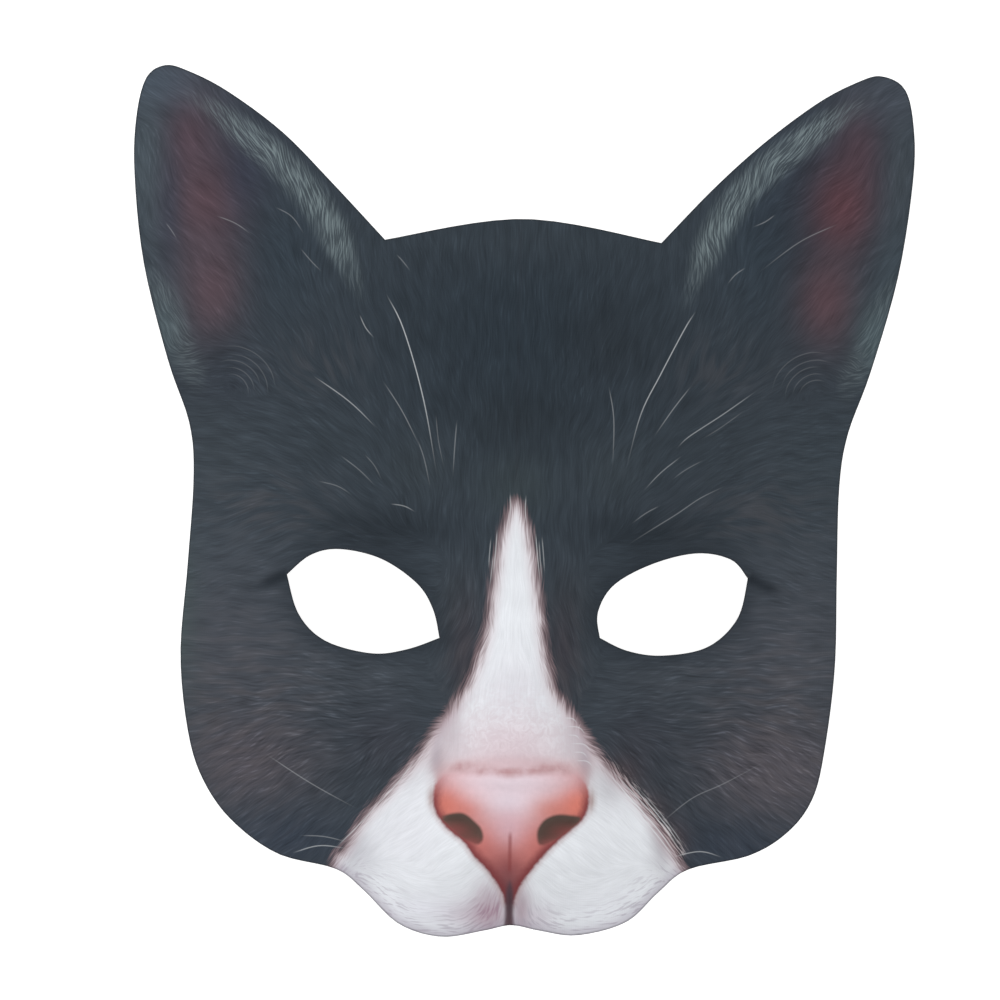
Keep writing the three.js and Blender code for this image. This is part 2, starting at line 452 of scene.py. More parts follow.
def sharp_corners(loops):
    """Points where a loop turns sharply."""
    corners = []
    for loop in loops:
        into = loop - np.roll(loop, 1, axis=0)
        out = np.roll(loop, -1, axis=0) - loop
        turn = np.arctan2(into[:, 0] * out[:, 1] - into[:, 1] * out[:, 0], (into * out).sum(axis=1))
        corners.extend(loop[np.abs(turn) > CORNER_TURN])
    return corners


def slide(vert, place):
    """Moves a point in plan along the slope that it lies on."""
    step = Vector(place) - vert.co.xy
    vert.co.z -= step.dot(vert.normal.xy) / max(vert.normal.z, STEEPEST)
    vert.co.xy = place


def smooth_rim(bm):
    """Evens out heights and slopes along the cuts, then the heights of the points near them."""
    level = bm.verts.layers.float["level"]
    rim = [vert for vert in bm.verts if vert.is_boundary]
    number = {vert: index for index, vert in enumerate(rim)}
    neighbours = []
    for vert in rim:
        along = [edge for edge in vert.link_edges if edge.is_boundary]
        neighbours.append([number[edge.other_vert(vert)] for edge in along[:2]])
    neighbours = np.array(neighbours)
    values = np.array([(vert.co.z, vert[level]) for vert in rim])
    for _ in range(RIM_ROUNDS):
        values = (values + values[neighbours].mean(axis=1)) / 2
    for vert, (height, slope) in zip(rim, values):
        vert.co.z = height
        vert[level] = slope
    depth = depth_inside(plan_of(bm), cuts)
    inner = [vert for vert, gap in zip(bm.verts, depth) if gap < RIM_REACH and not vert.is_boundary]
    for _ in range(RIM_INNER_ROUNDS):
        bmesh.ops.smooth_vert(bm, verts=inner, factor=SMOOTH_FACTOR, use_axis_z=True)


def cut_out(bm, pitch):
    """Trims a lattice to the outline and opens the eyes."""
    points = plan_of(bm)
    foot, distance, _, _ = nearest(points, *stretches(cuts))
    outside = ~is_inside(points, *stretches(cuts))
    on_cut = distance < SLIDE_SHARE * pitch
    for vert, place, slides in zip(bm.verts, foot, on_cut):
        if slides:
            slide(vert, place)
    bm.verts.index_update()
    waste = {vert for vert, out, slides in zip(bm.verts, outside, on_cut) if out and not slides}
    kept = {vert for vert, out, slides in zip(bm.verts, outside, on_cut) if not out and not slides}
    for face in bm.faces[:]:
        corners = face.verts[:]
        edge_pair = [vert for vert in corners if vert not in waste and vert not in kept]
        mixed = len(waste.intersection(corners)) == 1 and len(kept.intersection(corners)) == 1
        if mixed and len(edge_pair) == 2:
            bmesh.utils.face_split(face, *edge_pair)
    centres = np.array([face.calc_center_median().xy for face in bm.faces])
    off = ~is_inside(centres, *stretches(cuts))
    scrap = [face for face, out in zip(bm.faces, off) if out or waste.intersection(face.verts)]
    bmesh.ops.delete(bm, geom=scrap, context="FACES")
    rim = [vert for vert in bm.verts if vert.is_boundary]
    for corner in sharp_corners(cuts):
        closest = min(rim, key=lambda vert: (vert.co.x - corner[0])**2 + (vert.co.y - corner[1])**2)
        slide(closest, corner)
    smooth_rim(bm)
    bm.normal_update()


cut_out(lattice, LATTICE_PITCH)
print("cut lattice, faces:", len(lattice.faces), "sharp corners:", len(sharp_corners(cuts)))

# %% [markdown]
# ## Pressed relief
#
# The mould presses small forms that are too fine for the solid: the leather of the nose stands a
# little proud, the nostrils and the grooves sink, and a crease runs out from each eye. Bump alone
# would vanish at a glancing view, so these are real height. The soft foam gives way under them, so
# its back stays plain.

# %% Press the small forms
RELIEF = {
    # name: (height, reach inwards or to each side), millimetres
    "nose": (0.9, 3.5),
    "nostril": (-1.6, 2.0),
    "philtrum": (-0.5, 0.9),
    "cleft": (-1.4, 1.3),
    "crease": (-0.7, 1.8),
    "bridge": (0.9, 3.0),
}


def relief_at(points):
    """Height of the small forms at some plan points."""
    def pillow(name, loops):
        height, reach = RELIEF[name]
        return height * MM * soft_step(depth_inside(points, loops), 0, reach * MM)

    def groove(name, line):
        height, reach = RELIEF[name]
        return height * MM * (1 - soft_step(beside(points, line), 0, reach * MM))

    total = pillow("nose", nose_loop) + pillow("nostril", nostril_loops)
    total += pillow("bridge", bridge_loop) + pillow("cleft", cleft_loop)
    total += groove("philtrum", philtrum_line)
    for line in crease_lines:
        total += groove("crease", line)
    return total


def press(bm):
    """Adds the small forms to a lattice, and keeps their height on each point."""
    form = bm.verts.layers.float.new("form")
    for vert, height in zip(bm.verts, relief_at(plan_of(bm))):
        vert.co.z += height
        vert[form] = height


press(lattice)
print("pressed heights, mm:", round(max(vert.co.z for vert in lattice.verts) / MM, 1))

# %% [markdown]
# ## Cloth and foam
#
# The wall is 2.5 mm thick in all: a thin printed cloth over foam. A knife cuts the sheet straight
# down, so both pieces are the lattice extruded downwards, with more drop where the face is steep to
# keep the wall even. A Solidify modifier would lean the cut edges over with the slope. Each layer also
# gets a flat map of its faces, in plan like the printed sheet, for baking its finish.

# %% Unroll a layer for baking
BAKE_MARGIN = 0.03
BAKE_SPAN = 0.9
BAKE_BACK = 0.88
BAKE_BACK_WIDTH = 0.09
BAKE_SKIRT = 1.2 * MM


def lay_out(bm, under, rim):
    """A flat map of a layer: its front in plan, its rim as a narrow skirt, its back in a strip."""
    places = bm.loops.layers.uv.new("OFBake")
    low = cad_box[0].xy
    scale = BAKE_SPAN / max(cad_size.xy)
    for face in bm.faces:
        out = face.normal.xy.normalized() * BAKE_SKIRT
        for loop in face.loops:
            place = loop.vert.co.xy - low
            is_under = loop.vert in under
            if face in rim and is_under:
                place += out
            spot = place * scale + Vector((BAKE_MARGIN, BAKE_MARGIN))
            if is_under and face not in rim:
                spot.x = BAKE_BACK + BAKE_BACK_WIDTH * place.x / cad_size.x
            loop[places].uv = spot


print("bake map, mm across:", round(1 / BAKE_SPAN * max(cad_size.xy) / MM))

# %% [markdown]
# ## One lattice, two layers
#
# Extruding the whole region of faces leaves a lid above, a lid below and a wall between. The lower lid
# then drops by the layer's depth. Each point kept how level the calm sheet was before the small forms
# were pressed, so the drop changes evenly along the cut and its edge stays clean.

# %% Extrude the two layers
WALL = 2.5 * MM
CLOTH = 0.4 * MM
BOND_GAP = 0.03 * MM


def sharpen_rim(bm, rim):
    """Shades all faces smooth, with crisp edges along the cut."""
    for face in bm.faces:
        face.smooth = True
    for edge in bm.edges:
        edge.smooth = all(face in rim for face in edge.link_faces) or rim.isdisjoint(edge.link_faces)


def layer(bm, name, top, bottom, plain_back):
    """A closed layer between two depths under the lattice, as an object."""
    made = bm.copy()
    level = made.verts.layers.float["level"]
    form = made.verts.layers.float["form"]
    swept = bmesh.ops.extrude_face_region(made, geom=made.faces[:], use_keep_orig=True)
    under = {item for item in swept["geom"] if isinstance(item, bmesh.types.BMVert)}
    rim = {face for face in made.faces if 0 < len(under.intersection(face.verts)) < len(face.verts)}
    for vert in made.verts:
        depth = bottom if vert in under else top
        height = vert.co.z - depth / vert[level]
        if plain_back and vert in under:
            height -= vert[form]
        vert.co.z = max(height, 0)
    for kept in ("level", "form"):
        made.verts.layers.float.remove(made.verts.layers.float[kept])
    bmesh.ops.recalc_face_normals(made, faces=made.faces)
    sharpen_rim(made, rim)
    lay_out(made, under, rim)
    piece = as_object(made, name)
    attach(piece, "root")
    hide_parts("mask_shell")
    return piece


cloth = layer(lattice, "printed_cloth", 0, CLOTH, plain_back=False)
foam = layer(lattice, "foam_shell", CLOTH + BOND_GAP, WALL, plain_back=True)
print("faces:", {piece.name: len(piece.data.polygons) for piece in (cloth, foam)})

# %% [markdown]
# ## What the cloth is
#
# The cloth was cut flat, a little wider than the mask, and stretched over the foam in the press.

SQUARE_CM = 0.0001


def front_area(bm):
    """Area of a lattice, in square metres."""
    return sum(face.calc_area() for face in bm.faces)


front_area(lattice)
print("cloth, square centimetres:", round(front_area(lattice) / SQUARE_CM))

# %% [markdown]
# ## Inks and airbrush
#
# The print is a painted cat. Its ground is soft, as if sprayed with an airbrush: dark slate on the
# forehead, warmer greys on the cheeks, a dull red inside the ears. So each ground is one base ink with
# soft sprays over it. An image texture would need a picture file, while a few sprays stored as a
# colour on each point of the mesh need none.

# %% Spray the grounds
PLAN_GRAIN = 0.0001 * MM
MIDDLE = -0.5
SHADE_TOP = 255
DARK_LIMIT = 0.04045
DARK_SLOPE = 12.92
BRIGHT_SHIFT = 0.055
BRIGHT_POWER = 2.4
BOTH = (-1, 1)
LEFT = (-1,)
RIGHT = (1,)
ONCE = (1,)

FUR_INK = (58, 66, 74)
FUR_SPRAYS = [
    # sides, x, y, reach across, reach along, strength, ink
    (ONCE, 0, 42, 46, 38, 0.95, (43, 52, 60)),
    (ONCE, 0, 67, 44, 8, 0.6, (54, 62, 69)),
    (ONCE, 0, 4, 9, 8, 0.9, (58, 67, 72)),
    (ONCE, 0, 20, 14, 7, 0.6, (43, 50, 56)),
    (BOTH, 46, 15, 14, 9, 0.7, (53, 61, 68)),
    (BOTH, 24, 8, 9, 8, 0.7, (57, 65, 71)),
    (BOTH, 33, -7, 17, 5, 0.9, (43, 50, 57)),
    (BOTH, 68, -15, 12, 9, 0.8, (66, 73, 81)),
    (BOTH, 76, 13, 13, 13, 0.6, (61, 69, 76)),
    (BOTH, 14, -26, 6, 10, 0.8, (57, 63, 69)),
    (BOTH, 39, -44, 22, 9, 0.8, (66, 72, 79)),
    (BOTH, 70, -38, 22, 18, 0.9, (74, 78, 86)),
    (BOTH, 66, -66, 18, 13, 0.9, (84, 81, 88)),
    (BOTH, 31, -60, 10, 10, 0.8, (62, 65, 73)),
    (BOTH, 56, -85, 18, 8, 0.9, (57, 65, 77)),
    (BOTH, 12, -38, 4, 14, 0.8, (63, 61, 68)),
    (BOTH, 72, 84, 16, 20, 0.8, (57, 63, 74)),
    (BOTH, 60, 62, 11, 16, 0.8, (52, 62, 71)),
    (BOTH, 91, 103, 11, 8, 0.8, (75, 82, 91)),
    (BOTH, 84, 90, 6, 11, 0.8, (82, 66, 75)),
    (BOTH, 79, 74, 8, 10, 0.9, (86, 67, 74)),
    (BOTH, 77, 52, 7, 12, 0.9, (87, 72, 79)),
    (BOTH, 95, 82, 4, 14, 0.7, (73, 81, 88)),
    (BOTH, 93, 62, 5, 13, 0.7, (67, 78, 86)),
    (BOTH, 89, 43, 5, 9, 0.8, (76, 91, 97)),
    (BOTH, 72, 31, 10, 8, 0.7, (57, 64, 72)),
    (LEFT, 86, -30, 5, 20, 0.6, (74, 90, 87)),
    (LEFT, 90, 103, 9, 6, 0.5, (79, 92, 106)),
    (LEFT, 81, 72, 9, 26, 0.35, (104, 85, 95)),
    (LEFT, 94, 84, 5, 16, 0.4, (82, 95, 103)),
    (LEFT, 88, 72, 3, 15, 0.5, (60, 66, 80)),
    (LEFT, 70, 80, 5, 9, 0.5, (54, 60, 76)),
    (LEFT, 72, 31, 9, 8, 0.5, (50, 56, 65)),
    (RIGHT, 66, 78, 13, 18, 0.5, (46, 56, 66)),
    (RIGHT, 90, 103, 8, 6, 0.5, (66, 72, 82)),
    (RIGHT, 80.5, 76, 7, 11, 0.45, (102, 60, 66)),
    (RIGHT, 76, 13, 10, 12, 0.4, (52, 62, 70)),
    (RIGHT, 76, 52, 6, 9, 0.3, (96, 64, 70)),
    (RIGHT, 66, -66, 14, 10, 0.5, (92, 89, 96)),
    (RIGHT, 27, -68, 5, 5, 0.6, (80, 65, 67)),
    (RIGHT, 34, -76.5, 5, 5, 0.6, (80, 65, 67)),
    (RIGHT, 40.5, -84, 4, 5, 0.6, (80, 65, 67)),
    (RIGHT, 22, 40, 10, 12, 0.5, (42, 48, 54)),
]
PALE_INK = (230, 233, 238)
PALE_SPRAYS = [
    (ONCE, 0, -47, 9, 9, 0.8, (222, 221, 228)),
    (ONCE, -0.5, -60, 15, 6.5, 0.9, (222, 208, 215)),
    # greyer sides of the bridge: the print's tone there, with painted shade beside the raised bridge
    (BOTH, 16, -57, 4, 8, 0.9, (196, 186, 193)),
    (BOTH, 25, -66, 4, 7, 0.6, (206, 205, 211)),
    (BOTH, 20, -73.6, 0.9, 2.6, 0.65, (146, 106, 94)),
    (ONCE, -0.5, -64.4, 17, 3, 0.7, (206, 177, 184)),
    (BOTH, 18.4, -65.4, 2.4, 4.5, 0.7, (172, 150, 155)),
    (LEFT, 26, -82, 10, 10, 0.5, (222, 222, 229)),
    (LEFT, 20, -102, 14, 4, 0.6, (228, 228, 237)),
    (RIGHT, 24, -101, 14, 5, 0.5, (236, 238, 245)),
    (LEFT, 4.8, -101.5, 3.6, 7, 0.5, (176, 148, 162)),
    (LEFT, 10, -102.5, 6, 3.5, 0.5, (186, 166, 180)),
    (RIGHT, 3, -101, 2.4, 6.5, 0.85, (170, 150, 160)),
    (RIGHT, 7, -103, 4, 3.5, 0.5, (192, 178, 191)),
    (LEFT, 38.5, -87.5, 5.5, 7, 0.9, (196, 196, 203)),
    (RIGHT, 24.5, -69, 4, 6, 0.5, (184, 180, 186)),
    (RIGHT, 38, -82, 3, 9, 0.8, (166, 160, 167)),
]
LEATHER_INK = (206, 128, 121)
LEATHER_SPRAYS = [
    (ONCE, -0.5, -68.4, 21, 6, 1.0, (228, 210, 219)),
    (ONCE, -0.5, -74, 8.5, 5, 1.0, (231, 216, 226)),
    (ONCE, -0.5, -80.5, 4.5, 5, 0.75, (222, 186, 197)),
    (BOTH, 12, -76.4, 5, 2.6, 0.75, (208, 130, 122)),
    (BOTH, 17.5, -75, 5, 4.2, 0.95, (210, 117, 101)),
    (BOTH, 20.5, -68, 4, 5, 0.9, (178, 128, 132)),
    (RIGHT, 9.5, -75.4, 4.5, 2.6, 0.4, (214, 138, 126)),
    (RIGHT, 17.5, -74.4, 4, 4, 0.6, (228, 134, 118)),
    (LEFT, 17.5, -74.4, 4, 4, 0.35, (196, 118, 108)),
    (BOTH, 8, -86, 4, 3.5, 0.6, (190, 108, 104)),
    (ONCE, -0.8, -91, 6, 5, 0.9, (152, 86, 88)),
    (ONCE, -0.8, -96.5, 5.5, 5, 0.95, (104, 66, 72)),
]
NOSTRIL_INK = (88, 74, 67)
NOSTRIL_SPRAYS = [
    (BOTH, 14, -81.4, 4, 1.9, 0.9, (132, 76, 74)),
    (BOTH, 10, -84.4, 3.5, 1.5, 0.8, (142, 78, 77)),
]


def ink(shade):
    """A printed shade, as numbers from a colour picker, in the linear values that shaders use."""
    shown = np.array(shade) / SHADE_TOP
    bright = ((shown + BRIGHT_SHIFT) / (1 + BRIGHT_SHIFT)) ** BRIGHT_POWER
    return np.where(shown < DARK_LIMIT, shown / DARK_SLOPE, bright)


def spray_reach(points, sides, x, y, across, along):
    """How strongly a soft spray reaches each point, for each side that it is on."""
    reach = np.zeros(len(points))
    for side in sides:
        off_x = (points[:, 0] / MM - MIDDLE - side * x) / across
        off_y = (points[:, 1] / MM - y) / along
        reach = np.maximum(reach, np.exp(-off_x**2 - off_y**2))
    return reach


def airbrushed(points, base, sprays):
    """A colour for each point: sprays of ink laid over a base ink, one after the other."""
    colour = np.tile(ink(base), (len(points), 1))
    for sides, x, y, across, along, strength, shade in sprays:
        cover = strength * spray_reach(points, sides, x, y, across, along)
        colour += cover[:, None] * (ink(shade) - colour)
    return colour


def store(mesh, name, kind, values):
    """Keeps values for the plan points on the points of a mesh, where a material reads them by name."""
    field = {"FLOAT": "value", "FLOAT_COLOR": "color", "FLOAT_VECTOR": "vector"}[kind]
    spread = np.ravel(values[plan_place]).astype(np.float32)
    mesh.attributes.new(name, kind, "POINT").data.foreach_set(field, spread)


def store_colour(mesh, name, colour):
    """Keeps a colour on the points of a mesh."""
    store(mesh, name, "FLOAT_COLOR", np.hstack([colour, np.ones((len(colour), 1))]))


cloth_points = np.array([vert.co.xy for vert in cloth.data.vertices])
cloth_grid = np.round(cloth_points / PLAN_GRAIN) * PLAN_GRAIN
cloth_plan, plan_place = np.unique(cloth_grid, axis=0, return_inverse=True)
plan_place = plan_place.ravel()
grounds = {
    "fur": (FUR_INK, FUR_SPRAYS),
    "pale": (PALE_INK, PALE_SPRAYS),
    "leather": (LEATHER_INK, LEATHER_SPRAYS),
    "nostril": (NOSTRIL_INK, NOSTRIL_SPRAYS),
}
for ground_name, (base_ink, sprays) in grounds.items():
    store_colour(cloth.data, ground_name, airbrushed(cloth_plan, base_ink, sprays))
print("sprays:", {ground_name: len(sprays) for ground_name, (_, sprays) in grounds.items()})

# %% [markdown]
# ## Which way the fur lies
#
# Fur on a cat's face fans out from the nose: up the forehead, out over the cheeks, down the jaw. A few
# guide hairs give the direction at places on the right half, the left half mirrors them, and every
# other point takes a mean of the guides near it. Angles are doubled before they are averaged, because
# a stroke at 0 degrees and one at 180 are the same stroke. At the foot of each ear the fur curls round
# a small swirl.

# %% Comb the fur
GUIDE_HAIRS = [
    # x, y, reach, degrees from the x axis
    (0, 45, 16, 90), (0, 10, 10, 90), (20, 40, 14, 80), (33, 44, 12, 70), (28, 22, 10, 66),
    (46, 15, 9, 36), (60, 16, 10, 18), (77, 12, 12, 3), (68, -8, 8, -20), (74, -18, 9, -12),
    (70, -38, 16, 0), (42, -44, 14, 5), (66, -66, 12, -30), (55, -84, 12, -40), (31, -66, 7, -51),
    (11, -36, 7, 112), (0, -25, 7, 90), (0, -55, 8, 88), (25, -80, 9, -40), (30, -96, 6, 30),
    (19, -102, 6, 0), (10, -100, 4, -35), (5, -99, 3, -75), (39, -84, 5, -56),
    (91, 104, 6, 30), (74, 96, 7, 60), (54, 79, 7, 77), (44, 63, 8, 95), (74, 74, 10, 40),
    (79, 54, 9, 45), (92, 50, 6, 72), (95, 80, 6, 82), (62, 48, 9, 60), (70, 34, 6, 15),
]
SWIRLS = [
    # middle x, middle y, reach, first degree, last degree
    (-73, 26, 10, 5, 105),
    (74.5, 27, 10, 75, 175),
]
SWIRL_PULL = 1.5
FAINT_PULL = 1e-9


def combed(points):
    """The doubled direction of the fur at each point, as a unit vector."""
    lie = np.zeros((len(points), 3))
    for x, y, reach, first, last in SWIRLS:
        off = points / MM - (x, y)
        away = np.arctan2(off[:, 1], off[:, 0])
        facing = np.cos(away - math.radians((first + last) / 2)).clip(0, 1)
        pull = SWIRL_PULL * facing * np.exp(-(off**2).sum(axis=1) / reach**2)
        lie[:, 0] -= pull * np.cos(2 * away)
        lie[:, 1] -= pull * np.sin(2 * away)
    for x, y, reach, degrees in GUIDE_HAIRS:
        double = math.radians(2 * degrees)
        for side in BOTH:
            pull = spray_reach(points, (side,), x, y, reach, reach) + FAINT_PULL
            lie[:, 0] += pull * math.cos(double)
            lie[:, 1] += pull * math.sin(double) * side
    return lie / np.linalg.norm(lie, axis=1)[:, None]


store(cloth.data, "comb", "FLOAT_VECTOR", combed(cloth_plan))
print("guide hairs:", 2 * len(GUIDE_HAIRS))

# %% [markdown]
# ## Edges in the print
#
# Some edges in the print are sharp: the white blaze, the nose leather, the nostrils. Colour stored on
# points can't be sharper than the mesh, but a distance can: it changes evenly across each face, and
# the material turns it into an edge as fine as it likes. The distances are kept in millimetres.

# %% Distances to the printed edges
WHITE_EDGE = [
    (-0.6, 0.3), (2.3, -6), (3.8, -12.3), (4.7, -18), (5.9, -25.5), (7, -34.2), (8.2, -41.2),
    (9.8, -46.5), (13.6, -51.4), (18, -57.6), (22.8, -64.6), (30.2, -72.4), (36.2, -80.2),
    (40.6, -87.2), (45, -96), (46, -112), (-46, -112), (-44.5, -91), (-41.8, -87.1), (-37.5, -79.6),
    (-30.8, -71.9), (-23.5, -62.8), (-20.1, -57.2), (-16, -51.7), (-12.2, -45.9), (-9.2, -38.8),
    (-7.4, -32), (-6.6, -25.8), (-5.6, -18.2), (-4.8, -12.5), (-3.4, -6),
]
white_loop = [smooth_curve(WHITE_EDGE, CURVE_STEPS, closed=True)]
edge_distances = {
    "white_depth": depth_inside(cloth_plan, white_loop),
    "nose_depth": depth_inside(cloth_plan, nose_loop),
    "nostril_depth": depth_inside(cloth_plan, nostril_loops),
    "cleft_depth": depth_inside(cloth_plan, cleft_loop),
    "cut_depth": np.maximum(depth_inside(cloth_plan, cuts), 0),
    "eye_depth": -depth_inside(cloth_plan, cuts[1:]),
}
for edge_name, distance in edge_distances.items():
    store(cloth.data, edge_name, "FLOAT", distance / MM)
white_share = np.mean(edge_distances["white_depth"] > 0)
print("white, square centimetres:", round(white_share * front_area(lattice) / SQUARE_CM))

# %% [markdown]
# ## Single hairs
#
# Over the soft fur lie single pale hairs: brow hairs, whiskers, and the fringe where white meets dark.
# Each is a curve through a few points. Most were read off the photograph, and the rest were placed in
# millimetres. A material can't draw a curve, so each point of the mesh keeps its sideways distance from
# the nearest hair and how much of that hair it may show.

# %% Draw the hairs
HAIR_SHOW = 1.2
HAIR_SIDE = 2.4
HAIR_ROOT = 0.25
HAIR_TIP = 0.6
PHOTO_HAIRS = [
    # strength, pixels
    (0.7, [(386, 293), (404, 330), (424, 400), (438, 480)]),
    (0.45, [(312, 375), (350, 402), (379, 430)]),
    (0.25, [(383, 381), (403, 412), (422, 450)]),
    (0.18, [(340, 455), (360, 470), (377, 487)]),
    (0.14, [(365, 454), (375, 466), (383, 481)]),
    (0.16, [(318, 481), (338, 486), (353, 495)]),
    (0.35, [(391, 504), (405, 506), (416, 512)]),
    (0.4, [(360, 315), (366, 328), (375, 339)]),
    (0.2, [(397, 255), (403, 262), (411, 272)]),
    (0.18, [(418, 440), (425, 460), (431, 490)]),
    (0.22, [(457, 420), (455, 445), (453, 480)]),
    (0.6, [(696, 311), (684, 330), (660, 375), (640, 415), (625, 471)]),
    (0.3, [(691, 386), (672, 410), (652, 439)]),
    (0.38, [(759, 389), (722, 415), (688, 437), (676, 449)]),
    (0.12, [(745, 410), (720, 428), (700, 440)]),
    (0.25, [(608, 386), (613, 420), (612, 470)]),
    (0.16, [(703, 460), (685, 470), (671, 480)]),
    (0.28, [(681, 456), (660, 473), (642, 492)]),
    (0.22, [(727, 485), (700, 498), (676, 514), (650, 530), (625, 546)]),
    (0.22, [(659, 506), (645, 513), (630, 524)]),
    (0.25, [(265, 753), (312, 783), (360, 809)]),
    (0.5, [(292, 853), (320, 845), (351, 848)]),
    (0.25, [(300, 835), (325, 836), (352, 842)]),
    (0.5, [(671, 856), (700, 851), (724, 858)]),
    (0.22, [(840, 223), (800, 242), (757, 274)]),
    (0.25, [(775, 215), (765, 222), (752, 228)]),
    (0.25, [(745, 268), (735, 275), (727, 285)]),
    (0.22, [(215, 215), (235, 223), (252, 235)]),
    (0.2, [(275, 207), (292, 217), (305, 235)]),
    (0.2, [(300, 248), (312, 262), (322, 272)]),
    (0.2, [(165, 222), (171, 230), (177, 240)]),
]
PLACED_HAIRS = [
    # strength, points in millimetres
    (0.13, [(-21, 22), (-20.2, 15), (-18.6, 8)]),
    (0.2, [(36.5, -79.5), (44.5, -73), (52.5, -69.2), (64, -63)]),
    (0.8, [(42.2, -86.4), (36.6, -79), (29.6, -71.6), (21.2, -62.8)]),
    (0.8, [(41.4, -87.8), (35.8, -80.4), (28.8, -72.8), (20.2, -63)]),
    (0.7, [(42.4, -85.6), (38.2, -79.8), (32, -72.6), (24, -64.8)]),
    (0.8, [(40.6, -88.4), (36.6, -83), (30.8, -76.4), (24.4, -69.8)]),
    (0.4, [(42.8, -85), (40, -81), (35, -74.8), (28.2, -67.6)]),
    (0.5, [(-23.8, -63.6), (-30, -71.6), (-36.4, -78.4)]),
    (0.5, [(-44.2, -87), (-38, -80.6), (-32, -73.8)]),
    (0.5, [(-2.2, 2.4), (-2, -1.5), (-2.2, -5)]),
    (0.5, [(1.8, 1.8), (1.7, -2), (2.2, -6)]),
    (0.36, [(-6.7, -8.7), (-7, -13), (-7.2, -17)]),
    (0.36, [(5.9, -8), (6.4, -13), (6.8, -18)]),
    (0.55, [(-5.2, -6.6), (-5.5, -12), (-6.2, -20)]),
    (0.55, [(4.3, -7), (4.9, -13), (5.8, -21)]),
    (0.4, [(-6.1, -13), (-6.4, -17), (-6.9, -22)]),
    (0.4, [(5.2, -9), (5.6, -14), (6.3, -20)]),
]
SWIRL_RINGS = (0.5, 0.66, 0.84, 1.0, 1.2)
SWIRL_STRENGTH = 0.09
SWIRL_POINTS = 5
SWIRL_TURNS = (-8, 0, 8)
FLUFF_START = (12.1, -53.2)
FLUFF_STEP = (0.6, -2.1)
FLUFF_HAIR = [(0, 0), (2.8, -0.2), (4.3, -1.8)]
FLUFF_SIZES = (0.8, 1.15, 0.7, 1.25, 0.9, 1.1)
FLUFF_STRENGTH = 0.65


def fluff_hairs():
    """Short pale hairs that curl over the right edge of the bridge."""
    hairs = []
    for number, size in enumerate(FLUFF_SIZES):
        root = np.array(FLUFF_START) + number * np.array(FLUFF_STEP)
        hairs.append((FLUFF_STRENGTH, root + size * np.array(FLUFF_HAIR)))
    return hairs


def swirl_hairs():
    """Rings of short hairs where the fur curls round the foot of each ear."""
    hairs = []
    for x, y, reach, first, last in SWIRLS:
        for number, ring in enumerate(SWIRL_RINGS):
            turn = SWIRL_TURNS[number % len(SWIRL_TURNS)]
            angles = np.radians(np.linspace(first, last, SWIRL_POINTS) + turn)
            circle = np.array([np.cos(angles), np.sin(angles)]).T
            hairs.append((SWIRL_STRENGTH, np.array([x, y]) + ring * reach * circle))
    return hairs


def apart_layers(hairs):
    """Hairs sorted into layers, so that no two in a layer come near each other."""
    layers = []
    room = (HAIR_SHOW + HAIR_SIDE) * MM
    for strength, guide in hairs:
        line = smooth_curve(guide, CURVE_STEPS)
        for members in layers:
            if all(beside(line, other).min() > room for _, other in members):
                members.append((strength, line))
                break
        else:
            layers.append([(strength, line)])
    return layers


def hair_fields(points, hairs):
    """Sideways distance from the nearest hair, and how much of it each point may show."""
    side = np.full(len(points), HAIR_SIDE)
    show = np.zeros(len(points))
    closest = np.full(len(points), HAIR_SIDE * MM)
    for strength, line in hairs:
        low = line.min(axis=0) - HAIR_SIDE * MM
        high = line.max(axis=0) + HAIR_SIDE * MM
        about = np.flatnonzero(((points > low) & (points < high)).all(axis=1))
        _, distance, number, share = nearest(points[about], line[:-1], line[1:])
        run = (line[1:] - line[:-1])[number]
        off = points[about] - line[number]
        across = (run[:, 0] * off[:, 1] - run[:, 1] * off[:, 0]) / np.hypot(*run.T)
        along = (number + share) / (len(line) - 1)
        taper = soft_step(along, 0, HAIR_ROOT) * (1 - soft_step(along, HAIR_TIP, 1))
        fade = 1 - soft_step(distance / MM, HAIR_SHOW / 2, HAIR_SHOW)
        closer = distance < closest[about]
        chosen = about[closer]
        closest[chosen] = distance[closer]
        side[chosen] = np.clip(across[closer] / MM, -HAIR_SIDE, HAIR_SIDE)
        show[chosen] = (strength * taper * fade)[closer]
    return side, show


photo_hairs = [(strength, from_photo(pixels)) for strength, pixels in PHOTO_HAIRS]
hair_layers = apart_layers(photo_hairs + PLACED_HAIRS + fluff_hairs() + swirl_hairs())
for hair_layer, hairs_apart in enumerate(hair_layers):
    hair_side, hair_show = hair_fields(cloth_plan, hairs_apart)
    store(cloth.data, f"hair_side_{hair_layer}", "FLOAT", hair_side)
    store(cloth.data, f"hair_show_{hair_layer}", "FLOAT", hair_show)
print("single hairs in each layer:", [len(members) for members in hair_layers])

# %% [markdown]
# ## Soft bands
#
# Some changes in the print fade out slowly: pale tufts along the ears, a warm tint on the lower cheeks,
# fluff on the bridge, the line above the nose, the groove under it, and the shadows beside the bridge
# and the eyes. Each is a band along a curve or a round spray, kept as a strength on every point.

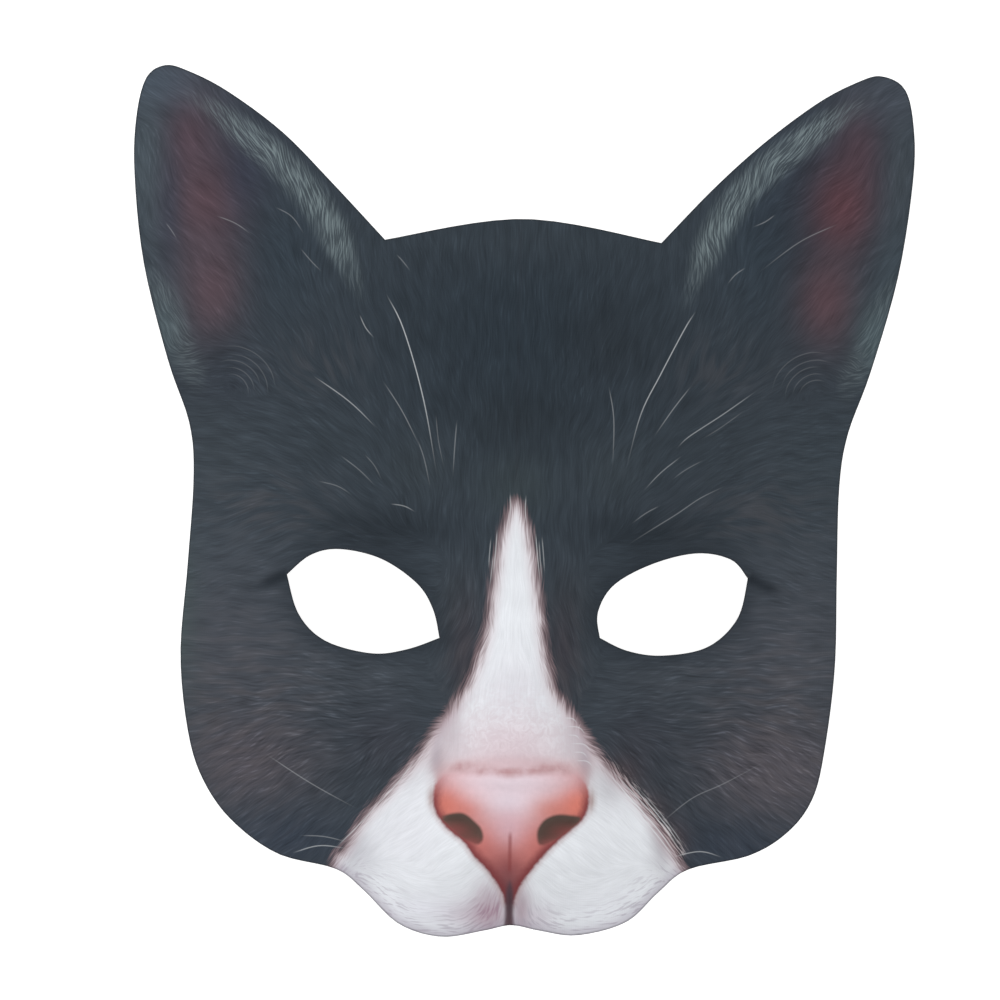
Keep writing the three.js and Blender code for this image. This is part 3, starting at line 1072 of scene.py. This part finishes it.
# %% Bands for tufts, warmth and grooves
TUFT_LINES = [
    [(-88, 103), (-76.8, 96.2), (-68, 89.7), (-60.1, 83), (-53.2, 75.5), (-47.6, 66.8), (-43.4, 57.9),
     (-39, 47.5)],
    [(90, 104), (79.5, 98.4), (70, 92), (61.3, 84.8), (53.5, 76.8), (48, 67.8), (43.8, 58.4),
     (40, 47.5)],
]
FRINGE_LINES = [
    [(-93.5, 60), (-92.4, 53.8), (-88.2, 44.8), (-84.8, 36.1), (-82, 30.7), (-80.5, 24)],
    [(94, 60), (92.6, 54), (88.8, 45), (85.4, 36.4), (82.8, 31), (81.4, 24.5)],
]
EDGE_HAIRS = [[(17.4, -57.8), (23.4, -65.6), (30.8, -74), (36.6, -81.2), (41.4, -88.4)]]
SOFT_SPRAYS = {
    # sides, x, y, reach across, reach along
    "fluff": (ONCE, 0, -58, 18, 10),
    "lively": (BOTH, 56, -58, 26, 22),
    "lilac": (LEFT, 4.6, -101.4, 4.8, 5.6),
}
WARM_SPRAYS = [
    # sides, x, y, reach across, reach along, strength
    (BOTH, 68, -55, 22, 26, 0.75),
    (BOTH, 13, -42, 5, 14, 0.5),
    (BOTH, 50, 34, 12, 8, 0.45),
    (BOTH, 62, -2, 16, 8, 0.6),
]
TUFT_REACH = (0.6 * MM, 5.4 * MM)
TUFT_ENDS = (0.28, 0.72)
EDGE_REACH = (0.8 * MM, 3.8 * MM)
EDGE_ENDS = (0.5, 0.97)
FRINGE_SHARE = 0.36
CREASE_REACH = (0.1 * MM, 2.6 * MM)
CREASE_ENDS = (0.0, 0.5)
CREASE_SHARE = 0.8
PHILTRUM_REACH = (1.6 * MM, 2.6 * MM)
PHILTRUM_ENDS = (0.2, 0.9)
PHILTRUM_X = -0.65
NOSE_LINE_REACH = (0.1 * MM, 2.4 * MM)
NOSE_LINE_ENDS = (0.15, 0.85)
BRIDGE_EDGE = 2.2 * MM
BRIDGE_START = (46, 56)
BRIDGE_STOP = (64, 69)
BRIDGE_SHARE = 0.5
END_WIDTH = 0.4
END_SLACK = 0.01


def band(curve, inner, outer, rise=0.0, fall=1.0):
    """1 along a curve and 0 beyond outer. It tapers before one share of the way and after another."""
    _, distance, number, share = nearest(cloth_plan, curve[:-1], curve[1:])
    along = (number + share) / (len(curve) - 1)
    grown = soft_step(along, -END_SLACK, rise + END_SLACK)
    taper = grown * (1 - soft_step(along, fall, 1 + END_SLACK))
    width = outer * (END_WIDTH + (1 - END_WIDTH) * taper)
    return taper * (1 - soft_step(distance, inner, width))


def bands_along(lines, *measures):
    """The strongest of the bands along some lines of a table."""
    return np.max([band(smooth_curve(line, CURVE_STEPS), *measures) for line in lines], axis=0)


def bridge_shadow():
    """1 on the two long edges of the bridge of the nose, fading towards the brow and the nose."""
    height = -cloth_plan[:, 1] / MM
    fade = soft_step(height, *BRIDGE_START) * (1 - soft_step(height, *BRIDGE_STOP))
    return fade * (1 - soft_step(np.abs(depth_inside(cloth_plan, bridge_loop)), 0, BRIDGE_EDGE))


tufts = bands_along(TUFT_LINES, *TUFT_REACH, *TUFT_ENDS)
tufts += FRINGE_SHARE * bands_along(FRINGE_LINES, *TUFT_REACH, *TUFT_ENDS)
bands = {
    "tuft": tufts,
    "warm": np.max([row[-1] * spray_reach(cloth_plan, *row[:-1]) for row in WARM_SPRAYS], axis=0),
    "edge_hair": bands_along(EDGE_HAIRS, *EDGE_REACH, *EDGE_ENDS),
    # painted shade along the pressed crease at each outer eye corner
    "crease": CREASE_SHARE * bands_along(EYE_CREASES, *CREASE_REACH, *CREASE_ENDS),
    "philtrum_side": cloth_plan[:, 0] / MM - PHILTRUM_X,
    "philtrum": band(philtrum_line, *PHILTRUM_REACH, *PHILTRUM_ENDS),
    "nose_line": bands_along([NOSE_LINE], *NOSE_LINE_REACH, *NOSE_LINE_ENDS),
    "bridge_shadow": BRIDGE_SHARE * bridge_shadow(),
}
bands.update({name: spray_reach(cloth_plan, *row) for name, row in SOFT_SPRAYS.items()})
for band_name, band_values in bands.items():
    store(cloth.data, band_name, "FLOAT", band_values)
print("bands kept:", ", ".join(bands))

# %% [markdown]
# ## Building a material from short calls
#
# A material is a tree of nodes. Adding each node by hand takes four lines, so this small helper adds a
# node, sets its inputs and returns its output. A number goes into the input itself, and an output is
# linked to it.

# %% Finish helper
NOISE_MIDDLE = 0.5
NOISE_GAIN = 4.0


class Finish:
    """One material, with short calls that each add a node and return its output."""

    def __init__(self, name):
        self.material = bpy.data.materials.new(name)
        self.material.use_nodes = True
        self.tree = self.material.node_tree
        self.shader = self.tree.nodes["Principled BSDF"]
        self.place = self.node("ShaderNodeTexCoord", {}).outputs["Object"]

    def plug(self, socket, value):
        """Links an output to an input, or sets the input to a number or colour."""
        if isinstance(value, bpy.types.NodeSocket):
            self.tree.links.new(value, socket)
        else:
            socket.default_value = value

    def node(self, kind, inputs, **settings):
        """A new node with its settings and inputs."""
        made = self.tree.nodes.new(kind)
        for setting, value in settings.items():
            setattr(made, setting, value)
        for socket, value in inputs.items():
            self.plug(made.inputs[socket], value)
        return made

    def stored(self, name, output="Fac"):
        """A value kept on the mesh."""
        return self.node("ShaderNodeAttribute", {}, attribute_name=name).outputs[output]

    def math(self, operation, first, second=0.0):
        """A sum on two numbers."""
        return self.node("ShaderNodeMath", {0: first, 1: second}, operation=operation).outputs[0]

    def times(self, first, second):
        """One number times another."""
        return self.math("MULTIPLY", first, second)

    def plus(self, first, second):
        """One number plus another."""
        return self.math("ADD", first, second)

    def centred(self, grain):
        """A noise from 0 to 1, spread to about -1 to 1."""
        return self.times(self.math("SUBTRACT", grain, NOISE_MIDDLE), NOISE_GAIN)

    def ramp(self, value, start, end, low=0.0, high=1.0):
        """An S from low to high as a value goes from start to end."""
        inputs = {"Value": value, "From Min": start, "From Max": end, "To Min": low, "To Max": high}
        return self.node("ShaderNodeMapRange", inputs, interpolation_type="SMOOTHSTEP").outputs[0]

    def blend(self, share, under, over):
        """One colour laid over another."""
        inputs = {0: share, 6: under, 7: over}
        return self.node("ShaderNodeMix", inputs, data_type="RGBA").outputs[2]

    def scaled(self, colour, factor):
        """A colour made lighter or darker by a factor."""
        inputs = {"Vector": colour, "Scale": factor}
        return self.node("ShaderNodeVectorMath", inputs, operation="SCALE").outputs[0]

    def noise(self, size, detail=2.0, shift=0.0, twist=0.0):
        """Soft noise with spots of about a size, from about -1 to 1. A twist curls the spots."""
        mapped = self.node("ShaderNodeMapping", {"Vector": self.place, "Location": (shift, shift, 0)})
        inputs = {"Vector": mapped.outputs[0], "Scale": 1 / size, "Detail": detail, "Distortion": twist}
        grain = self.node("ShaderNodeTexNoise", inputs, noise_dimensions="3D").outputs["Fac"]
        return self.centred(grain)

    def dress(self, inputs, bump):
        """Gives the shader its inputs and its bump, and returns the material."""
        for socket, value in inputs.items():
            self.plug(self.shader.inputs[socket], value)
        self.plug(self.shader.inputs["Normal"], self.node("ShaderNodeBump", bump).outputs[0])
        return self.material


print("finish helper:", ", ".join(name for name in vars(Finish) if not name.startswith("_")))

# %% [markdown]
# ## Brush strokes that follow the fur
#
# Noise stretched along one direction looks like brushed hair, but one texture has one direction. Ten
# of them, each turned a little further, cover half a turn, and at each point only the two nearest to
# the stored fur direction show. That gives strokes that bend with the face, and pushing the places
# about with a little soft noise makes them wave like real hair.

# %% Stroke noise
STROKE_TURNS = 10
STROKE_SHIFT = 0.137
WAVE_SIZE = 9 * MM
WAVE_PUSH = 1.6 * MM


def wavy_place(finish):
    """Places pushed about a little, so that the strokes bend like hair."""
    look = {"Vector": finish.place, "Scale": 1 / WAVE_SIZE, "Detail": 0.0}
    noise = finish.node("ShaderNodeTexNoise", look, noise_dimensions="2D").outputs["Color"]
    middle = (NOISE_MIDDLE, NOISE_MIDDLE, NOISE_MIDDLE)
    push = finish.node("ShaderNodeVectorMath", {0: noise, 1: middle}, operation="SUBTRACT")
    inputs = {0: finish.scaled(push.outputs[0], WAVE_PUSH), 1: finish.place}
    return finish.node("ShaderNodeVectorMath", inputs, operation="ADD").outputs[0]


def turn_weights(finish):
    """For each stroke direction, its angle and how well it fits the stored fur direction."""
    comb = finish.stored("comb", "Vector")
    next_turn = math.cos(2 * math.pi / STROKE_TURNS)
    weights = []
    for turn in range(STROKE_TURNS):
        angle = math.pi * turn / STROKE_TURNS
        aim = {0: comb, 1: (math.cos(2 * angle), math.sin(2 * angle), 0)}
        match = finish.node("ShaderNodeVectorMath", aim, operation="DOT_PRODUCT").outputs["Value"]
        spread = {"Value": match, "From Min": next_turn, "From Max": 1.0}
        weights.append((angle, finish.node("ShaderNodeMapRange", spread).outputs[0]))
    return weights


def strokes(finish, weights, place, length, width, detail):
    """Hair-like noise along the stored fur direction, from about -1 to 1."""
    total = 0.0
    for turn, (angle, weight) in enumerate(weights):
        layout = {
            "Vector": place,
            "Location": (length + turn * STROKE_SHIFT, width, 0),
            "Rotation": (0, 0, angle),
            "Scale": (length, width, 1),
        }
        turned = finish.node("ShaderNodeMapping", layout, vector_type="TEXTURE").outputs[0]
        look = {"Vector": turned, "Scale": 1.0, "Detail": detail}
        grain = finish.node("ShaderNodeTexNoise", look, noise_dimensions="2D").outputs["Fac"]
        total = finish.plus(finish.times(finish.centred(grain), weight), total)
    return total


print("stroke directions:", STROKE_TURNS)

# %% [markdown]
# ## The printed cloth
#
# The print is laid down as a painter would: fur ground and strokes, then the white blaze and muzzle
# with a ragged hairy edge, the nose leather with its nostrils, and last the single hairs. The cloth
# itself is a fine knit with a dull face, so it is rough, with a little sheen and a fine bump.

# %% Printed cloth finish
STROKES = {
    # length, width, detail
    "soft": (9 * MM, 1.9 * MM, 0.0),
    "fine": (6 * MM, 0.55 * MM, 1.0),
    "hairline": (4.5 * MM, 0.3 * MM, 0.0),
}
NOISES = {
    # size, detail, shift, twist
    "patch": (24 * MM, 2.0, 0.0, 0.0),
    "cloud": (4.5 * MM, 3.0, 0.0, 0.0),
    "curl": (2 * MM, 2.0, 0.3, 1.4),
    "pores": (1.3 * MM, 2.0, 0.6, 0.0),
}
KNIT_PITCHES = {"X": 0.55 * MM, "Y": 0.44 * MM}
KNIT_NOISE = 1.5 * MM
WAVE_RATE = 10
KNIT_BUMP = {"Strength": 0.35, "Distance": 0.05 * MM}
FUR_TONE = 0.94
DARKEST = 0.35
LIVELY_SHARE = 0.17
CURL_SHARE = 0.03
CLOTH_ROUGHNESS = 0.82
CLOTH_SHEEN = {"Specular IOR Level": 0.08, "Sheen Weight": 0.02, "Sheen Roughness": 0.5}
SHARES = {
    # what each noise adds to a tone or moves an edge, in millimetres
    "fur": {"soft": 0.07, "hairline": 0.06, "patch": 0.05},
    "tuft": {"fine": 0.6, "hairline": 0.7},
    "pale": {"patch": 0.012, "cloud": 0.022},
    "pale_hair": {"soft": 0.02, "fine": 0.025, "hairline": 0.025},
    "white_edge": {"soft": 0.15, "fine": 0.22, "hairline": 0.38},
    "leather": {"pores": 0.03, "cloud": 0.015},
    "leather_edge": {"pores": 0.15},
    "roughness": {"fine": 0.04},
}
RAMPS = {
    # start, end, result at the start, result at the end
    "warm": (-0.6, 1.0, 0.0, 0.36),
    "lively": (-0.6, 0.9, 0.05, 0.12),
    "bright": (0.5, 1.2, 0.0, 1.5),
    "tuft": (-0.7, 1.3, 0.15, 0.82),
    "edge_hair": (-0.2, 0.8, 0.0, 0.9),
    "eye": (0.2, 5.0, 0.4, 0.0),
    "combed": (0.0, 1.0, 1.0, 0.15),
    "rosy": (-0.8, 1.0, 0.44, 0.0),
    "wisp_reach": (1.0, 11.0, 0.58, 0.0),
    "wisp": (0.0, 0.9, 0.0, 1.0),
    "lip": (0.2, 3.2, 0.45, 0.0),
    "lilac": (-0.8, 1.0, 0.4, 0.85),
    "blush": (0.3, 3.8, 0.4, 0.0),
    "nose_low": (-75 * MM, -67 * MM, 1.0, 0.0),
    "nose_rim": (0.1, 3.0, 0.95, 0.0),
    "nose_soft": (-71 * MM, -65 * MM, 0.5, 3.2),
    "nose_line": (-0.8, 0.8, 0.25, 0.95),
    "nose_shadow": (-1.7, 0.0, 0.0, 0.42),
    "nostril": (-0.5, 0.5, 0.0, 1.0),
    "philtrum": (0.05, 0.8, 0.6, 0.0),
    "cleft": (-0.5, 0.7, 0.0, 0.95),
    "hair": (0.03, 0.22, 0.77, 0.0),
    "white": (-0.9, 1.0, 0.0, 1.0),
    "fringe_out": (-2.0, -0.3, 0.0, 1.0),
    "fringe_in": (0.1, 2.0, 0.5, 0.0),
    "cut": (0.0, 0.6, 0.6, 0.0),
}
TINTS = {
    "warm": (88, 81, 81),
    "tuft": (130, 144, 147),
    "edge_hair": (214, 205, 207),
    "crease": (34, 40, 47),
    "eye": (38, 44, 51),
    "rosy": (204, 184, 191),
    "bridge_shadow": (172, 162, 173),
    "wisp": (170, 164, 176),
    "lip": (160, 148, 165),
    "lilac": (160, 124, 142),
    "blush": (200, 178, 184),
    "nose_rim": (124, 58, 62),
    "nose_shadow": (168, 126, 124),
    "nose_line": (184, 142, 145),
    "philtrum": (142, 70, 70),
    "cleft": (90, 67, 75),
    "hair": (225, 229, 232),
    "fringe": (148, 121, 124),
    # the dark line at the cuts: partly the dark foam edge, partly painted shade
    "cut": (38, 43, 48),
}


def knit_height(finish):
    """The fine ribs of the knit, from 0 to 1, softened by a little noise."""
    ribs = []
    for direction, size in KNIT_PITCHES.items():
        inputs = {"Vector": finish.place, "Scale": math.pi / (WAVE_RATE * size), "Distortion": 0.0}
        wave = finish.node("ShaderNodeTexWave", inputs, wave_type="BANDS", bands_direction=direction)
        ribs.append(wave.outputs["Fac"])
    return finish.plus(finish.times(*ribs), finish.noise(KNIT_NOISE))


def mixed(finish, grain, name, base):
    """A base value plus what each noise of a row of shares adds to it."""
    total = base
    for kind, share in SHARES[name].items():
        total = finish.plus(finish.times(grain[kind], share), total)
    return total


def over(finish, under, name, share):
    """A tint laid over a colour."""
    return finish.blend(share, under, (*ink(TINTS[name]), 1))


def faded(finish, under, name, distance):
    """A tint that fades out with a distance."""
    return over(finish, under, name, finish.ramp(distance, *RAMPS[name]))


def brushed(finish, under, name, where, grain):
    """A tint that follows a noise or a distance, as strong as a band allows."""
    return over(finish, under, name, finish.times(where, finish.ramp(grain, *RAMPS[name])))


def fur_colour(finish, grain):
    """Dark fur: airbrushed ground, strokes, warm cheeks, pale tufts, and shadow round the eyes."""
    colour = brushed(finish, finish.stored("fur", "Color"), "warm", finish.stored("warm"), grain["soft"])
    calm = finish.ramp(grain["patch"], *RAMPS["lively"])
    lively = finish.plus(calm, finish.times(finish.stored("lively"), LIVELY_SHARE))
    stroke = finish.plus(grain["fine"], finish.ramp(grain["fine"], *RAMPS["bright"]))
    tone = finish.plus(mixed(finish, grain, "fur", FUR_TONE), finish.times(stroke, lively))
    colour = finish.scaled(colour, finish.math("MAXIMUM", tone, DARKEST))
    strand = mixed(finish, grain, "tuft", 0.0)
    for name in ("tuft", "edge_hair"):
        colour = brushed(finish, colour, name, finish.stored(name), strand)
    colour = faded(finish, colour, "eye", finish.stored("eye_depth"))
    # Painted shade darkens the pressed creases at the outer eye corners.
    return over(finish, colour, "crease", finish.stored("crease"))


def pale_colour(finish, grain):
    """White fur: a pale ground, faint strokes, rosy fluff on the bridge, painted lilac shade by the lip.
    """
    fluff = finish.stored("fluff")
    hair = finish.times(mixed(finish, grain, "pale_hair", 0.0), finish.ramp(fluff, *RAMPS["combed"]))
    curl = finish.times(grain["curl"], finish.times(fluff, CURL_SHARE))
    tone = finish.plus(mixed(finish, grain, "pale", 1.0), finish.plus(hair, curl))
    colour = finish.scaled(finish.stored("pale", "Color"), tone)
    colour = brushed(finish, colour, "rosy", fluff, grain["curl"])
    colour = over(finish, colour, "bridge_shadow", finish.stored("bridge_shadow"))
    cut_depth = finish.stored("cut_depth")
    # Painted shade near the lower cut as well, broken into grey fur strokes.
    near_cut = finish.ramp(cut_depth, *RAMPS["wisp_reach"])
    colour = brushed(finish, colour, "wisp", near_cut, grain["fine"])
    colour = brushed(finish, colour, "lilac", finish.stored("lilac"), grain["fine"])
    colour = faded(finish, colour, "blush", finish.stored("white_depth"))
    # Painted shade: lilac grey that fades in towards the lower cut, where the lip turns under.
    return faded(finish, colour, "lip", cut_depth)


def nose_colour(finish, grain, under):
    """The nose leather with its nostrils, laid over the fur."""
    height = finish.node("ShaderNodeSeparateXYZ", {0: finish.place}).outputs["Y"]
    depth = mixed(finish, grain, "leather_edge", finish.stored("nose_depth"))
    low_part = finish.ramp(height, *RAMPS["nose_low"])
    leather = finish.scaled(finish.stored("leather", "Color"), mixed(finish, grain, "leather", 1.0))
    leather = brushed(finish, leather, "nose_rim", low_part, depth)
    softness = finish.ramp(height, *RAMPS["nose_soft"])
    cover = finish.ramp(depth, finish.times(softness, -1.0), softness)
    colour = finish.blend(cover, brushed(finish, under, "nose_shadow", low_part, depth), leather)
    colour = brushed(finish, colour, "nose_line", finish.stored("nose_line"), grain["cloud"])
    nostril = finish.ramp(finish.stored("nostril_depth"), *RAMPS["nostril"])
    return finish.blend(nostril, colour, finish.stored("nostril", "Color"))


def groove_colour(finish, under):
    """The fine groove down the nose, and the dark cleft below it."""
    side = finish.math("ABSOLUTE", finish.stored("philtrum_side"))
    colour = brushed(finish, under, "philtrum", finish.stored("philtrum"), side)
    return faded(finish, colour, "cleft", finish.stored("cleft_depth"))


def hair_colour(finish, under):
    """The single pale hairs, layer by layer."""
    colour = under
    for number in range(len(hair_layers)):
        side = finish.math("ABSOLUTE", finish.stored(f"hair_side_{number}"))
        colour = brushed(finish, colour, "hair", finish.stored(f"hair_show_{number}"), side)
    return colour


def cloth_finish():
    """The printed knit cloth."""
    finish = Finish("printed_cloth")
    weights = turn_weights(finish)
    place = wavy_place(finish)
    grain = {name: strokes(finish, weights, place, *row) for name, row in STROKES.items()}
    grain.update({name: finish.noise(*row) for name, row in NOISES.items()})
    edge = mixed(finish, grain, "white_edge", finish.stored("white_depth"))
    white = finish.ramp(edge, *RAMPS["white"])
    colour = finish.blend(white, fur_colour(finish, grain), pale_colour(finish, grain))
    fringe_in = finish.ramp(edge, *RAMPS["fringe_in"])
    fringe = finish.times(finish.ramp(edge, *RAMPS["fringe_out"]), fringe_in)
    colour = over(finish, colour, "fringe", fringe)
    colour = groove_colour(finish, nose_colour(finish, grain, colour))
    colour = hair_colour(finish, colour)
    # A dark line along every cut edge: partly the dark foam edge, partly painted shade at the cut.
    colour = faded(finish, colour, "cut", finish.stored("cut_depth"))

    rough = mixed(finish, grain, "roughness", CLOTH_ROUGHNESS)
    inputs = {"Base Color": colour, "Roughness": rough, **CLOTH_SHEEN}
    return finish.dress(inputs, {"Height": knit_height(finish), **KNIT_BUMP})


cloth.data.materials.append(cloth_finish())
print("cloth nodes:", len(cloth.data.materials[0].node_tree.nodes))

# %% [markdown]
# ## The foam
#
# The back is bare moulded foam in dark grey, with fine closed pores and a faint mottle from the press.

# %% Foam finish
FOAM_INK = (48, 48, 52)
PORE_SIZE = 0.7 * MM
PORE_EDGE = (0.05, 0.45)
PORE_TONES = (0.8, 1.05)
MOTTLE_SIZE = 9 * MM
MOTTLE_SHARE = 0.10
FOAM_ROUGHNESS = 0.68
MOTTLE_ROUGHNESS = 0.05
FOAM_GLOSS = {"Specular IOR Level": 0.35}
PORE_BUMP = {"Strength": 0.5, "Distance": 0.12 * MM}


def foam_finish():
    """Dark closed-cell foam."""
    finish = Finish("moulded_foam")
    mottle = finish.noise(MOTTLE_SIZE)
    cells = finish.node("ShaderNodeTexVoronoi", {"Vector": finish.place, "Scale": 1 / PORE_SIZE})
    pores = finish.ramp(cells.outputs["Distance"], *PORE_EDGE)
    tone = finish.plus(finish.times(mottle, MOTTLE_SHARE), finish.ramp(pores, 0.0, 1.0, *PORE_TONES))
    colour = finish.scaled(tuple(ink(FOAM_INK)), tone)
    rough = finish.plus(finish.times(mottle, MOTTLE_ROUGHNESS), FOAM_ROUGHNESS)
    inputs = {"Base Color": colour, "Roughness": rough, **FOAM_GLOSS}
    return finish.dress(inputs, {"Height": pores, **PORE_BUMP})


foam.data.materials.append(foam_finish())
print("foam nodes:", len(foam.data.materials[0].node_tree.nodes))

# %% [markdown]
# ## Sizes
#
# The finished look must not change the size of the part.
